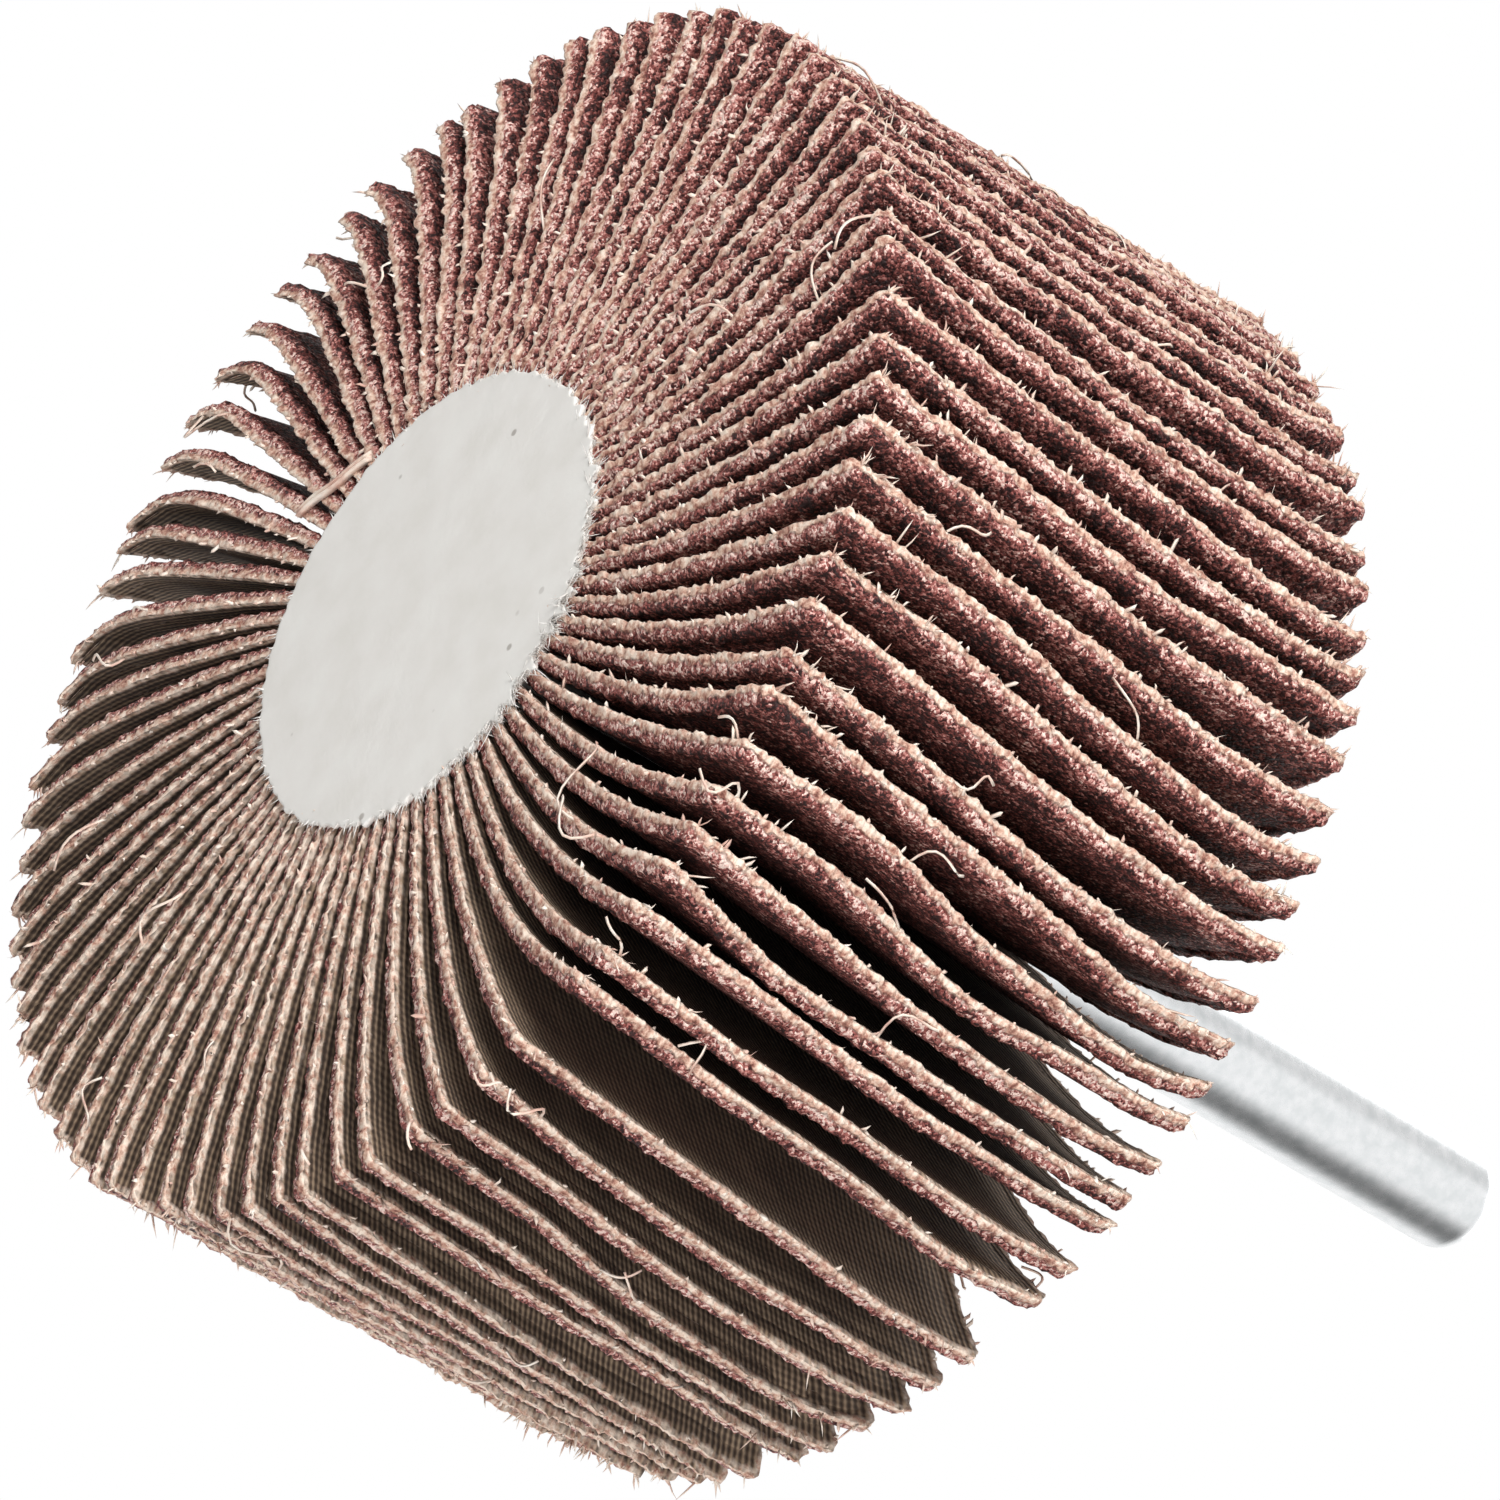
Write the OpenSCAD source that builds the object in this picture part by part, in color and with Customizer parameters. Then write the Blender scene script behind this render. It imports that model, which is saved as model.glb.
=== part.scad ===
// Flap wheel on a round shank.
// The wheel stands on its front face at z = 0, with its spindle along +Z.
// Curved abrasive flaps fan out from slots in one cast resin core.

/* [Wheel] */
// Diameter over the tips of the flaps
wheel_d = 67; // [60:0.5:80]
// Width of the flaps along the spindle
wheel_w = 32; // [20:0.5:50]

/* [Core] */
// Diameter of the resin disc on each face of the core
disc_d = 25; // [24:0.5:34]
// Height by which each disc stands proud of the flaps' edges
disc_proud = 0.35; // [0.1:0.05:1.5]
// Distance from a disc's rim back to the resin between the flaps
resin_setback = 0.4; // [0.1:0.1:1.5]
// Depth of the flap roots below the resin between the flaps
root_depth = 2.6; // [1:0.1:4]
// Thickness of the resin left between two neighbouring roots
resin_web = 0.12; // [0.06:0.01:0.2]

/* [Flaps] */
// Number of flaps round the core, two to a node
flap_count = 80; // [60:2:96]
// Thickness of a flap where it is not squeezed by its neighbours
flap_t = 0.9; // [0.5:0.05:1.1]

/* [Curve of the flaps] */
// Angle about the spindle by which a flap's tip trails its root
tip_lean = 4; // [0:0.5:10]
// Power by which the lean grows along a flap: 1 is straight, 3 bends late
lean_power = 1.6; // [1.2:0.1:3]
// Most by which the lean is larger or smaller on opposite sides of the wheel
side_lean = 2.4; // [0:0.2:3]
// Direction of the side where the flaps lean most, from +X towards +Y
side_angle = 345; // [0:5:355]
// Direction of the one wide gap between two flaps, from +X towards +Y
gap_angle = 302.5; // [0:0.5:359.5]
// Extra lean of the flap beside the gap
gap_lean = 4.3; // [0:0.1:6]
// Angle round the wheel in which the extra lean falls to a third
gap_fade = 28; // [24:1:90]
// Share of the free room beside a flap that its tip may stray
stray_share = 0.45; // [0:0.05:0.6]
// Extra lean at the very tip on the side where the tips are hooked
hook_lean = 1.2; // [0:0.1:2]
// Length of the hooked stretch of a flap
hook_length = 5; // [3:0.5:8]
// Direction of the side where the tips are hooked most
hook_angle = 90; // [0:5:355]

/* [Spindle] */
// Diameter of the shank
shank_d = 6; // [4:0.5:8]
// Length of shank that stands clear of the rear disc
shank_free = 41.5; // [20:0.5:60]
// Radius of the round at the shank's free end
shank_round = 1.2; // [0.2:0.1:1.8]
// Thickness of resin in front of the spindle's buried end
nose_cover = 4; // [1:0.5:8]
// Height of the shoulder where the shank steps down to its buried seat
seat_step = 0.3; // [0.1:0.1:0.8]
// Number of grooves that key the seat into the resin
key_count = 3; // [1:1:4]
// Width of a key groove
key_w = 1.6; // [0.8:0.1:2]
// Depth of a key groove
key_depth = 0.5; // [0.2:0.1:1]

/* [Hidden] */
$fn = 96;

wheel_r = wheel_d / 2;
disc_r = disc_d / 2;
web_r = disc_r - resin_setback;
root_r = web_r - root_depth;
core_h = wheel_w + 2 * disc_proud;

shank_r = shank_d / 2;
spindle_top = core_h + shank_free;
tip_flat_r = shank_r - shank_round;
straight_l = shank_free - shank_round;
seat_r = shank_r - seat_step;
seat_l = core_h - nose_cover;
key_pitch = seat_l / (key_count + 1);
// How far a cut runs past the surface that it opens
cut_past = 1;

// Angle from one flap's root to the next
flap_pitch = 360 / flap_count;
// Straight stretches along a flap's free length
curve_steps = 9;
// Half the step over which a flap's direction is measured
nudge = 0.01;
stray_seed = 7;
strays = rands(-1, 1, flap_count, stray_seed);

pair_count = flap_count / 2;
function pair_name(k) = str("flap_pair_", k < 10 ? "0" : "", k);

function polar(r, a) = [r * cos(a), r * sin(a)];

// Flap i is rooted i pitches round from the gap, the way the flaps lean.
function root_angle(i) = gap_angle - (i + 0.5) * flap_pitch;

// Room along a circle of radius r for one flap and one web of resin
function pitch_length(r) = 2 * PI * r / flap_count;

// A flap is squeezed thinner where it has less room than its own thickness.
function thickness(r) = min(flap_t, pitch_length(r) - resin_web);

// Share of the free length at radius r: 0 at the disc's rim and 1 at the tip
function reach(r) = max(0, r - disc_r) / (wheel_r - disc_r);

// Share of the hook at radius r: 0 below the hooked stretch and 1 at the tip
function hooked(r) = pow(max(0, r - wheel_r + hook_length) / hook_length, 2);

// Angle by which flap i trails its root at radius r
function lean(i, r) =
    let (
        even = tip_lean + side_lean * cos(root_angle(i) - side_angle)
            + gap_lean * exp(-i * flap_pitch / gap_fade),
        hook_side = (1 + cos(root_angle(i) - hook_angle)) / 2,
        room = (pitch_length(r) - thickness(r)) / 2,
        stray = stray_share * strays[i] * room / r * 180 / PI
    )
    even * pow(reach(r), lean_power) + stray * reach(r) + hook_lean * hook_side * hooked(r);

function middle_angle(i, r) = root_angle(i) - lean(i, r);
function middle(i, r) = polar(r, middle_angle(i, r));

// Cosine of the angle between flap i and the radius at r
function lean_cos(i, r) =
    let (along = middle(i, r + nudge) - middle(i, r - nudge))
    along * polar(1, middle_angle(i, r)) / norm(along);

// Point at radius r of flap i on its leading side (1) or trailing side (-1)
function flap_side(i, r, side) =
    let (half_width = thickness(r) / 2 / lean_cos(i, r))
    polar(r, middle_angle(i, r) + side * half_width / r * 180 / PI);

flap_radii = concat(
    [root_r],
    [for (s = [0:curve_steps]) web_r + (wheel_r - web_r) * s / curve_steps]
);

function flap_outline(i) = concat(
    [for (r = flap_radii) flap_side(i, r, -1)],
    [for (k = [len(flap_radii) - 1:-1:0]) flap_side(i, flap_radii[k], 1)]
);

// Corners of the slot for flap i, from its trailing side round its root
function slot_corners(i) = [
    flap_side(i, web_r, -1),
    flap_side(i, root_r, -1),
    flap_side(i, root_r, 1),
    flap_side(i, web_r, 1)
];

module flap(i) {
    translate([0, 0, disc_proud])
        linear_extrude(wheel_w) polygon(flap_outline(i));
}

// Two neighbouring flaps, each a separate strip of abrasive cloth
module flap_pair(k) {
    color(k % 2 == 0 ? "rosybrown" : "indianred")
        for (i = [2 * k - 2, 2 * k - 1]) flap(i);
}

// Solid of the spindle: a keyed seat in the core, a shoulder on the rear disc and
// a plain shank with a rounded end
module spindle_form() {
    rotate_extrude() difference() {
        union() {
            translate([0, nose_cover]) square([seat_r, seat_l]);
            translate([0, core_h]) square([shank_r, straight_l]);
            translate([0, core_h]) square([tip_flat_r, shank_free]);
            intersection() {
                translate([tip_flat_r, core_h + straight_l]) circle(shank_round);
                square([shank_r, spindle_top]);
            }
        }
        for (k = [1:key_count])
            translate([seat_r - key_depth, nose_cover + k * key_pitch - key_w / 2])
                square([key_depth + cut_past, key_w]);
    }
}

module spindle() {
    color("silver") spindle_form();
}

// Cast resin core: a ring slotted for the flap roots, closed by a disc on each face
module core() {
    color("whitesmoke") difference() {
        union() {
            translate([0, 0, disc_proud]) linear_extrude(wheel_w)
                polygon([for (i = [flap_count - 1:-1:0]) each slot_corners(i)]);
            cylinder(r = disc_r, h = disc_proud);
            translate([0, 0, core_h - disc_proud]) cylinder(r = disc_r, h = disc_proud);
        }
        spindle_form();
    }
}

spindle();
core();
for (k = [1:pair_count])
    flap_pair(k);
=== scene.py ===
"""Dresses the flap wheel: gritty cloth flaps with frayed edges, a cast core and a plated shank."""
import math

import bpy
import numpy as np
from mathutils import Matrix, Vector


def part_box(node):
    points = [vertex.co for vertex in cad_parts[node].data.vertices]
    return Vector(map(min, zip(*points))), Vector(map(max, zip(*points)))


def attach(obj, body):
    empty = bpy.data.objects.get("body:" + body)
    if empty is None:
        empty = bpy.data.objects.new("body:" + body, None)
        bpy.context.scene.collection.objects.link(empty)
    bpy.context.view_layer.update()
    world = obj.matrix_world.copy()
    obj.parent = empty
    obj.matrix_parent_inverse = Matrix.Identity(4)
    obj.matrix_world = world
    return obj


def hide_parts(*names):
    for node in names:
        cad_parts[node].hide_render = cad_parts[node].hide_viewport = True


bl_info = {
    "name": "Flap wheel",
    "version": (1, 0, 0),
    "blender": (4, 5, 0),
    "location": "3D View > Sidebar > Flap wheel",
    "description": "Dresses a shank-mounted flap wheel in grit, cloth, resin and steel",
    "category": "Add Mesh",
}

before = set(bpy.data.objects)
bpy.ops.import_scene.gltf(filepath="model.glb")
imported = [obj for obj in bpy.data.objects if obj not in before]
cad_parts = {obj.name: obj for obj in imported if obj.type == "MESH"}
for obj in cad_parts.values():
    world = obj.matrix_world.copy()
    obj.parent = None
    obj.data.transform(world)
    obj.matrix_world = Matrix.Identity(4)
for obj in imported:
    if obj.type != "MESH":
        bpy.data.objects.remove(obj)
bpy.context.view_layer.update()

MM = 0.001
UP = np.array([0.0, 0.0, 1.0])
FLAP_NODES = sorted(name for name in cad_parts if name.startswith("flap_pair"))
WHEEL_R = max(abs(c) for name in FLAP_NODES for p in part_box(name) for c in p[:2])
FLAP_LOW, FLAP_HIGH = (p[2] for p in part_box(FLAP_NODES[0]))
CORE_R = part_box("core")[1][0]
CORE_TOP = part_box("core")[1][2]
# Direction of the side where the tips of the flaps are hooked, from +X towards +Y
HOOK_SIDE = math.radians(88)
# Direction of the side where the resin has run out between the flaps
BLEED_SIDE = math.radians(262)


def srgb(red, green, blue):
    """Linear colour of a picture colour given as three numbers from 0 to 255."""
    level = np.array([red, green, blue]) / 255.0
    linear = np.where(level <= 0.04045, level / 12.92, ((level + 0.055) / 1.055) ** 2.4)
    return (*linear.tolist(), 1.0)


# Noise and interpolation on whole arrays

def lattice_value(corner, seed):
    """Random number from 0 to 1 at each whole-number corner, from a mixed integer hash."""
    mixed = corner[..., 0] * 73856093 ^ corner[..., 1] * 19349663 ^ corner[..., 2] * 83492791
    mixed = (mixed ^ seed * 2654435761) & 0xFFFFFFFF
    mixed = ((mixed ^ mixed >> 15) * 2246822519) & 0xFFFFFFFF
    mixed = ((mixed ^ mixed >> 13) * 3266489917) & 0xFFFFFFFF
    return ((mixed ^ mixed >> 16) & 0xFFFFFF) / 0xFFFFFF


def soft_noise(points, cell, seed):
    """Value noise from -1 to 1: random corner values of a cubic lattice of the given cell,
    blended by f * f * (3 - 2 f) along each axis."""
    scaled = points / cell
    base = np.floor(scaled).astype(np.int64)
    part = scaled - base
    part = part * part * (3 - 2 * part)
    total = np.zeros(points.shape[:-1])
    for step in np.ndindex(2, 2, 2):
        share = np.prod(np.where(step, part, 1 - part), axis=-1)
        total += share * lattice_value(base + np.array(step), seed)
    return 2 * total - 1


def smooth_between(x, known_x, known_y):
    """Cubic Hermite curve through the known points, with the slopes of their neighbours."""
    slope = np.gradient(known_y, known_x)
    k = np.clip(np.searchsorted(known_x, x) - 1, 0, len(known_x) - 2)
    span = known_x[k + 1] - known_x[k]
    t = np.clip((x - known_x[k]) / span, 0, 1)
    rise = (t ** 3 - 2 * t ** 2 + t) * slope[k] + (t ** 3 - t ** 2) * slope[k + 1]
    blend = t * t * (3 - 2 * t)
    return known_y[k] * (1 - blend) + known_y[k + 1] * blend + span * rise


def unit(vectors):
    return vectors / np.linalg.norm(vectors, axis=-1, keepdims=True)


# Meshes from arrays

def grid_faces(rows, cols, closed=False):
    """Four-cornered faces of a grid numbered row by row; a closed grid joins its last column
    to its first."""
    i = np.arange(rows - 1)[:, None]
    j = np.arange(cols if closed else cols - 1)[None, :]
    beside = (j + 1) % cols
    corners = [i * cols + j, i * cols + beside, (i + 1) * cols + beside, (i + 1) * cols + j]
    return np.stack(np.broadcast_arrays(*corners), -1).reshape(-1, 4)


def outward(points, faces):
    """Faces turned so that the closed shell they make holds a positive volume."""
    volume = 0.0
    for block in faces:
        first = points[block[:, 0]]
        for k in range(1, block.shape[1] - 1):
            cross = np.cross(points[block[:, k]], points[block[:, k + 1]])
            volume += np.einsum("ij,ij->", first, cross)
    return faces if volume > 0 else [block[:, ::-1] for block in faces]


class Shells:
    """Closed shells gathered into one mesh, with a coat, an edge mask for wear and painted shade,
    a place on the cloth and a material."""

    def __init__(self):
        self.points, self.faces, self.materials = [], [], []
        self.coats, self.wears, self.places = [], [], []
        self.count = 0

    def add(self, points, faces, coat=0.5, wear=0.0, place=(0, 0), material=0):
        """points (n, 3); faces, a list of index arrays; coat (n) from 0 on the bare backing to 1
        on the grit; wear (n) from 0 inside, where the grit is painted dark as shade between the
        flaps, to 1 at a cut edge, where it is worn pale; place (n, 2), the spot on the flat cloth in
        metres."""
        for block in faces:
            self.faces.append(block + self.count)
            self.materials.append(np.full(len(block), material))
        self.points.append(points)
        self.coats.append(np.broadcast_to(coat, len(points)))
        self.wears.append(np.broadcast_to(wear, len(points)))
        self.places.append(np.broadcast_to(place, (len(points), 2)))
        self.count += len(points)

    def make(self, name, materials, slot, *nodes):
        """The gathered shells as one Blender object that rides on the part's body."""
        corner = np.concatenate([block.ravel() for block in self.faces])
        sizes = np.concatenate([np.full(len(b), b.shape[1]) for b in self.faces])
        mesh = bpy.data.meshes.new(name)
        mesh.vertices.add(self.count)
        mesh.vertices.foreach_set("co", np.concatenate(self.points).astype(np.float32).ravel())
        mesh.loops.add(len(corner))
        mesh.loops.foreach_set("vertex_index", corner.astype(np.int32))
        mesh.polygons.add(len(sizes))
        starts = np.concatenate([[0], np.cumsum(sizes)[:-1]])
        mesh.polygons.foreach_set("loop_start", starts.astype(np.int32))
        mesh.polygons.foreach_set("loop_total", sizes.astype(np.int32))
        mesh.polygons.foreach_set("material_index", np.concatenate(self.materials).astype(np.int32))
        mesh.polygons.foreach_set("use_smooth", np.ones(len(sizes), bool))
        for material in materials:
            mesh.materials.append(material)
        mesh.update(calc_edges=True)
        # The coat and the edge mask of wear and painted shade, as point attributes
        for label, values in (("coat", self.coats), ("wear", self.wears)):
            layer = mesh.attributes.new(label, "FLOAT", "POINT")
            layer.data.foreach_set("value", np.concatenate(values).astype(np.float32))
        cloth = mesh.uv_layers.new(name="Cloth")
        place = np.concatenate(self.places)[corner] / MM
        cloth.data.foreach_set("uv", place.astype(np.float32).ravel())
        piece = bpy.data.objects.new(name, mesh)
        bpy.context.scene.collection.objects.link(piece)
        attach(piece, "root")
        if nodes:
            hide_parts(*nodes)
        return piece


def strands(roots, directions, lengths, radii, bends, fullness=0.6):
    """Tapered three-sided strands with one bend each. Ring a lies at the root and ring b past the
    middle, at the fullness as a share of the radius, both round the strand's line; the tip is one
    point, moved sideways by the bend."""
    count = len(roots)
    side = unit(np.cross(directions, UP + 0.37))
    other = np.cross(directions, side)
    turn = np.arange(3) * 2 * math.pi / 3
    ring = side[:, None] * np.cos(turn)[:, None] + other[:, None] * np.sin(turn)[:, None]
    half = roots + directions * (lengths * (0.3 + 0.45 * fullness))[:, None] + bends * 0.3
    tip = roots + directions * lengths[:, None] + bends
    low = roots[:, None] + ring * radii[:, None, None]
    mid = half[:, None] + ring * (fullness * radii)[:, None, None]
    points = np.concatenate([low, mid, tip[:, None]], axis=1).reshape(-1, 3)
    start = 7 * np.arange(count)[:, None]
    quads = [start + np.array([[k, (k + 1) % 3, 3 + (k + 1) % 3, 3 + k]]) for k in range(3)]
    tips = [start + np.array([[3 + k, 3 + (k + 1) % 3, 6]]) for k in range(3)]
    return points, [np.concatenate(quads), np.concatenate(tips + [start + np.array([[2, 1, 0]])])]


def threads(paths, radius):
    """Thin three-sided tubes along paths (count, steps, 3), closed at both ends."""
    count, steps, _ = paths.shape
    along = unit(np.gradient(paths, axis=1))
    side = unit(np.cross(along, UP + 0.37))
    other = np.cross(along, side)
    turn = np.arange(3) * 2 * math.pi / 3
    ring = side[:, :, None] * np.cos(turn)[:, None] + other[:, :, None] * np.sin(turn)[:, None]
    points = (paths[:, :, None] + radius * ring).reshape(-1, 3)
    start = 3 * steps * np.arange(count)[:, None, None]
    sides = (start + grid_faces(steps, 3, closed=True)[None]).reshape(-1, 4)
    ends = np.array([[2, 1, 0], [3 * steps - 3, 3 * steps - 2, 3 * steps - 1]])
    return points, [sides, (start + ends[None]).reshape(-1, 3)]


# The flaps

# Section of a flap's rim, from the bare backing round the cut edge to the grit: inset from the
# rim in mm, place across the flap as a share of its thickness, and share of the fringe
RIM_SECTION = np.array([
    (1.5, -0.34, 0), (1.0, -0.48, 0), (0.5, -0.5, 0), (0.2, -0.49, 0.2), (0.05, -0.44, 0.9),
    (0.0, -0.3, 1), (-0.02, -0.13, 0.35), (0.0, 0.06, 0.1), (0.03, 0.26, 0), (0.12, 0.43, 0),
    (0.3, 0.53, 0), (0.6, 0.55, 0), (1.0, 0.5, 0), (1.5, 0.36, 0),
])


class Flap:
    """One flap, read from its CAD solid: radii, angle of its middle and half its thickness."""

    def __init__(self, radii, low, high, number):
        self.radii = radii
        self.middle = (low + high) / 2
        slant = np.arctan(radii * np.gradient(self.middle, radii))
        self.half = (high - low) / 2 * radii * np.cos(slant)
        self.root = self.middle[0]
        self.number = number

    def sway(self, radius, height, look):
        """Sideways shift in metres that grows with the reach of the flap. It adds up the twist,
        by which the rear leans less than the front, a wave that neighbouring flaps share, a
        smaller one of the flap's own, the curl of its rear corner and the hook of its tip."""
        hooked = self.hooked()
        reach = np.clip((radius - CORE_R) / (WHEEL_R - CORE_R), 0, 1.2)
        back = np.clip((height - FLAP_LOW) / (FLAP_HIGH - FLAP_LOW), 0, 1)
        twist = look.twist * (1 + 0.4 * hooked) * (1 - (1 - back) ** 1.5)
        level = height / (9 * MM)
        shared = np.stack([np.full(level.shape, self.root * 7), level, 0 * level], -1)
        own = np.stack([np.full(level.shape, self.number * 9.7), level, 2 * reach], -1)
        wave = look.shared_wave * soft_noise(shared, 1, 3) + look.own_wave * soft_noise(own, 1, 4)
        from_rear = np.clip(1 - (FLAP_HIGH - height) / look.curl_length, 0, 1)
        curl = -look.rear_curl * from_rear ** 2 * (0.4 + 0.6 * abs(soft_noise(own, 1, 5)))
        own_hook = 1 + 0.45 * math.sin(7.3 * self.number)
        hook = -look.hook * hooked * own_hook * (0.1 + 0.9 * np.exp(-7 * back))
        raised = 0.5 * look.hook * hooked
        return reach ** 1.3 * (twist + wave) + reach ** 3 * (curl + raised) + reach ** 14 * hook

    def hooked(self):
        """Share of the hook: a bell curve over the angle from the hooked side, 1 in its middle."""
        to_side = math.remainder(self.root - HOOK_SIDE, 2 * math.pi)
        return math.exp(-(to_side / 0.65) ** 2)

    def angle(self, radius, height, look):
        even = smooth_between(radius, self.radii, self.middle)
        return even + self.sway(radius, height, look) / radius

    def place(self, radius, height, across, look):
        """Point of the flap at a radius and height, and the directions out along the flap and
        across it: (r cos a, r sin a, z) + across * thickness * normal, with a the flap's angle."""
        step = 0.05 * MM
        a = self.angle(radius, height, look)
        slope = (self.angle(radius + step, height, look) - a) / step
        out = np.stack([np.cos(a), np.sin(a), 0 * a], -1)
        round_ = np.stack([-np.sin(a), np.cos(a), 0 * a], -1)
        along = unit(out + (radius * slope)[..., None] * round_)
        normal = np.cross(UP, along)
        reach = np.clip((radius - CORE_R) / (WHEEL_R - CORE_R), 0, 1)
        slimmer = (1 - 0.14 * (1 - reach) ** 4) * (1 - 0.4 * self.hooked() * reach ** 5)
        thickness = 2 * np.interp(radius, self.radii, self.half) * slimmer
        point = radius[..., None] * out + height[..., None] * UP
        return point + (across * thickness)[..., None] * normal, along, normal


def read_flaps(node, first_number):
    """The two flaps of a CAD pair. Each radius of the lower edge has four corners: sorted by
    angle, they are the two sides of one flap and then of the other."""
    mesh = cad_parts[node].data
    co = np.empty(3 * len(mesh.vertices), np.float32)
    mesh.vertices.foreach_get("co", co)
    co = co.reshape(-1, 3).astype(float)
    edge = co[co[:, 2] < FLAP_LOW + 1e-6]
    heading = math.atan2(edge[:, 1].mean(), edge[:, 0].mean())
    turned = np.arctan2(edge[:, 1], edge[:, 0]) - heading
    turned = (turned + math.pi) % (2 * math.pi) - math.pi
    radius = np.hypot(edge[:, 0], edge[:, 1])
    corners = np.unique(np.round(np.stack([radius, turned], 1), 5), axis=0).reshape(-1, 4, 2)
    radii = corners[:, :, 0].mean(1)
    sides = heading + corners[:, :, 1]
    return [
        Flap(radii, sides[:, 2 * k], sides[:, 2 * k + 1], first_number + k) for k in (0, 1)
    ]


def rim_path(inset, stations, tip, look):
    """Line at a given inset from a flap's rim: up the front edge, along the outer edge and down
    the rear edge. It is a rectangle with round corners, at the same share of each stretch for
    every inset. Returns radius, height and the direction outwards as an angle."""
    corner = max(look.corner_radius - inset, 0.02 * MM)
    root = CORE_R - 0.7 * MM
    side, low, high = tip - inset - corner, FLAP_LOW + inset + corner, FLAP_HIGH - inset - corner
    knots = np.arange(6)
    quarter = math.pi / 2
    radius = np.interp(stations, knots, [root, side, side, side, side, root])
    height = np.interp(stations, knots, [low, low, low, high, high, high])
    facing = np.interp(stations, knots, [-quarter, -quarter, 0, 0, quarter, quarter])
    return radius + corner * np.cos(facing), height + corner * np.sin(facing), facing


def rim_stations(look):
    """Places along the rim as knot numbers: dense up the front, round the corners and along the
    outer edge, and coarser down the rear."""
    free = WHEEL_R - CORE_R
    counts = [free / look.station_step, 3, (FLAP_HIGH - FLAP_LOW) / look.station_step, 3,
              0.7 * free / look.station_step]
    parts = [k + np.arange(int(n)) / int(n) for k, n in enumerate(counts)]
    return np.append(np.concatenate(parts), 5.0)


def tip_radius(flap, height, look):
    """Radius of the flap's outer edge: a little shorter in front than behind, and uneven."""
    share = (height - FLAP_LOW) / (FLAP_HIGH - FLAP_LOW)
    spots = np.stack([height / (4 * MM), 0 * height + flap.number * 3.1, 0 * height], -1)
    return WHEEL_R + look.tip_taper * (share - 0.7) + look.tip_uneven * soft_noise(spots, 1, 6)


def add_rim(shells, flap, rng, look):
    """Rim of a flap as a closed tube: the section is carried along the rim, and its grains are
    soft noise at two sizes plus a random part, pushed out along the section's normal."""
    stations = rim_stations(look)
    inset, across, fringed = RIM_SECTION.T
    shape = np.gradient(np.stack([-inset * MM, across * 2 * flap.half[-1]], -1), axis=0)
    normals_2d = unit(np.stack([-shape[:, 1], shape[:, 0]], -1))
    own_length = look.tip_stray * rng.uniform(-1, 1)
    spots = np.stack([stations * 21 * MM, 0 * stations + flap.number, 0 * stations], -1)
    tufted = np.clip(soft_noise(spots, 0.6 * MM, 13), 0, 1)
    fringe = look.fringe * (0.7 * rng.uniform(0, 1, len(stations)) ** 1.6 + 0.7 * tufted)
    rows, radii, heights = [], [], []
    for k, (push_out, push_across) in enumerate(normals_2d):
        radius, height, facing = rim_path(inset[k] * MM, stations, WHEEL_R, look)
        reach = np.clip((radius - CORE_R) / (WHEEL_R - CORE_R), 0, 1)
        longer = tip_radius(flap, height, look) - WHEEL_R + own_length
        radius = radius + reach ** 4 * longer
        point, along, normal = flap.place(radius, height, np.full(len(radius), across[k]), look)
        outwards = np.cos(facing)[:, None] * along + np.sin(facing)[:, None] * UP
        push = -push_out * outwards - push_across * normal
        point = point + (fringed[k] * fringe)[:, None] * (outwards - 0.45 * normal)
        rows.append((point, push))
        radii.append(radius)
        heights.append(height)
    points = np.stack([row[0] for row in rows], 1)
    push = np.stack([row[1] for row in rows], 1)
    coat = np.clip(across + 0.5, np.interp(inset, [0.2, 0.5], [0.07, 0]), 1)
    gritty = np.interp(coat, [0, 0.15, 0.35, 0.6, 1], [0.12, 0.5, 0.6, 1, 1])
    gritty[[0, -1]] = 0
    lumps = 0.35 * soft_noise(points, 0.7 * MM, 11) + 0.8 * soft_noise(points, 0.33 * MM, 12)
    rough = 0.4 * rng.uniform(-1, 1, points.shape[:2])
    height = look.grain_height * gritty * (lumps + rough)
    points = points + height[..., None] * push
    count, around = points.shape[:2]
    faces = [grid_faces(count, around, closed=True),
             np.arange(around)[None], ((count - 1) * around + np.arange(around))[None, ::-1]]
    flat = points.reshape(-1, 3)
    place = np.stack([np.stack(radii, 1), np.stack(heights, 1)], -1).reshape(-1, 2)
    # Edge mask from 1 at the cut edge, where the grit is worn pale, to 0 further in, where the grit is
    # painted dark as shade between the flaps
    wear = np.clip(1.05 - inset / 0.3, 0, 1)
    shells.add(flat, outward(flat, faces), np.tile(coat, count), np.tile(wear, count), place)


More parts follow.
